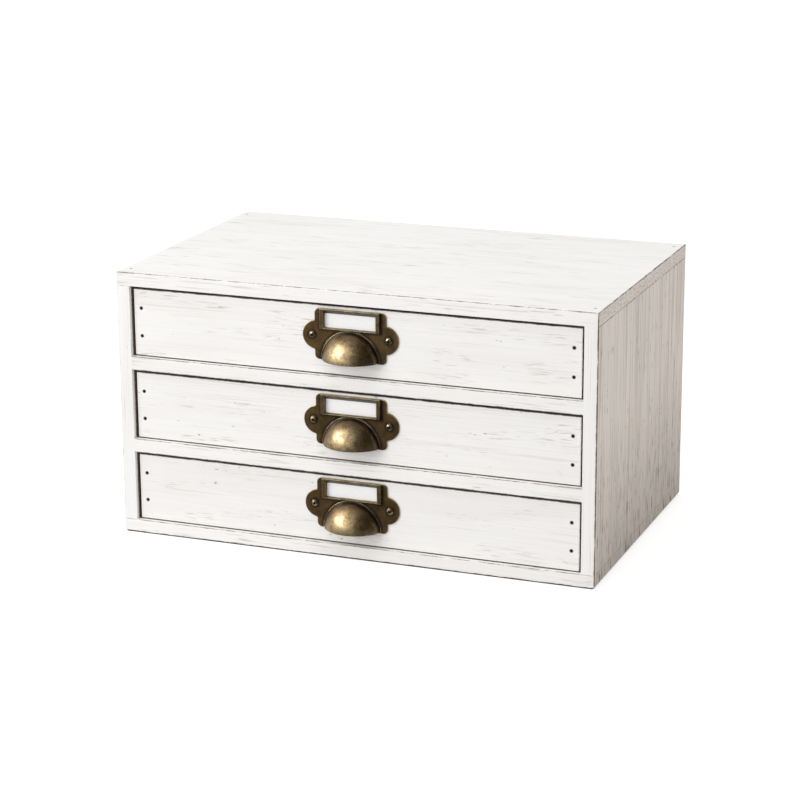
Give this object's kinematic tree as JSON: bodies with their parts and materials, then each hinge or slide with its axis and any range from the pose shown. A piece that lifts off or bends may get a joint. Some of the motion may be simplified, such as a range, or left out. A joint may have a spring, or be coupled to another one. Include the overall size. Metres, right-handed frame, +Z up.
{
  "type": "desktop drawer cabinet",
  "caption": "Low whitewashed wooden desktop cabinet with stacked full-width inset drawers, each opened by a bronze cup pull with a label window.",
  "frame": {"origin": "middle of the carcass's underside, which is the face that the cabinet stands on", "axes": "+X to the right across the drawer fronts, -Y out of the front the way the drawers open, +Z up"},
  "size_m": [0.36, 0.238, 0.196],
  "materials": {
    "whitewashed_wood": "thin white wash rubbed back at the arrises, matt",
    "bare_wood": "planed, unfinished",
    "thin_plywood": "unfinished plywood",
    "antique_bronze": "darkened, rubbed back to warm metal on the high spots",
    "dark_steel": "dull, darkened",
    "card_paper": "plain white card"
  },
  "bodies": {
    "cabinet": {"top_board": "whitewashed_wood", "bottom_board": "whitewashed_wood", "left_side": "whitewashed_wood", "right_side": "whitewashed_wood", "lower_divider": "whitewashed_wood", "upper_divider": "whitewashed_wood", "back_panel": "thin_plywood", "top_brads": "dark_steel", "bottom_brads": "dark_steel", "back_panel_brads": "dark_steel"},
    "bottom_drawer": {"bottom_drawer_front": "whitewashed_wood", "bottom_drawer_left_side": "bare_wood", "bottom_drawer_right_side": "bare_wood", "bottom_drawer_back": "bare_wood", "bottom_drawer_base": "thin_plywood", "bottom_drawer_front_brads": "dark_steel", "bottom_drawer_back_brads": "dark_steel", "bottom_drawer_pull": "antique_bronze", "bottom_drawer_label_card": "card_paper", "bottom_drawer_pull_screws": "antique_bronze"},
    "middle_drawer": {"middle_drawer_front": "whitewashed_wood", "middle_drawer_left_side": "bare_wood", "middle_drawer_right_side": "bare_wood", "middle_drawer_back": "bare_wood", "middle_drawer_base": "thin_plywood", "middle_drawer_front_brads": "dark_steel", "middle_drawer_back_brads": "dark_steel", "middle_drawer_pull": "antique_bronze", "middle_drawer_label_card": "card_paper", "middle_drawer_pull_screws": "antique_bronze"},
    "top_drawer": {"top_drawer_front": "whitewashed_wood", "top_drawer_left_side": "bare_wood", "top_drawer_right_side": "bare_wood", "top_drawer_back": "bare_wood", "top_drawer_base": "thin_plywood", "top_drawer_front_brads": "dark_steel", "top_drawer_back_brads": "dark_steel", "top_drawer_pull": "antique_bronze", "top_drawer_label_card": "card_paper", "top_drawer_pull_screws": "antique_bronze"}
  },
  "joints": [
    {"name": "bottom_drawer_slide", "type": "slide", "parent": "cabinet", "child": "bottom_drawer", "axis": [0, -1, 0], "range_m": [0, 0.18]},
    {"name": "middle_drawer_slide", "type": "slide", "parent": "cabinet", "child": "middle_drawer", "axis": [0, -1, 0], "range_m": [0, 0.18]},
    {"name": "top_drawer_slide", "type": "slide", "parent": "cabinet", "child": "top_drawer", "axis": [0, -1, 0], "range_m": [0, 0.18]}
  ]
}
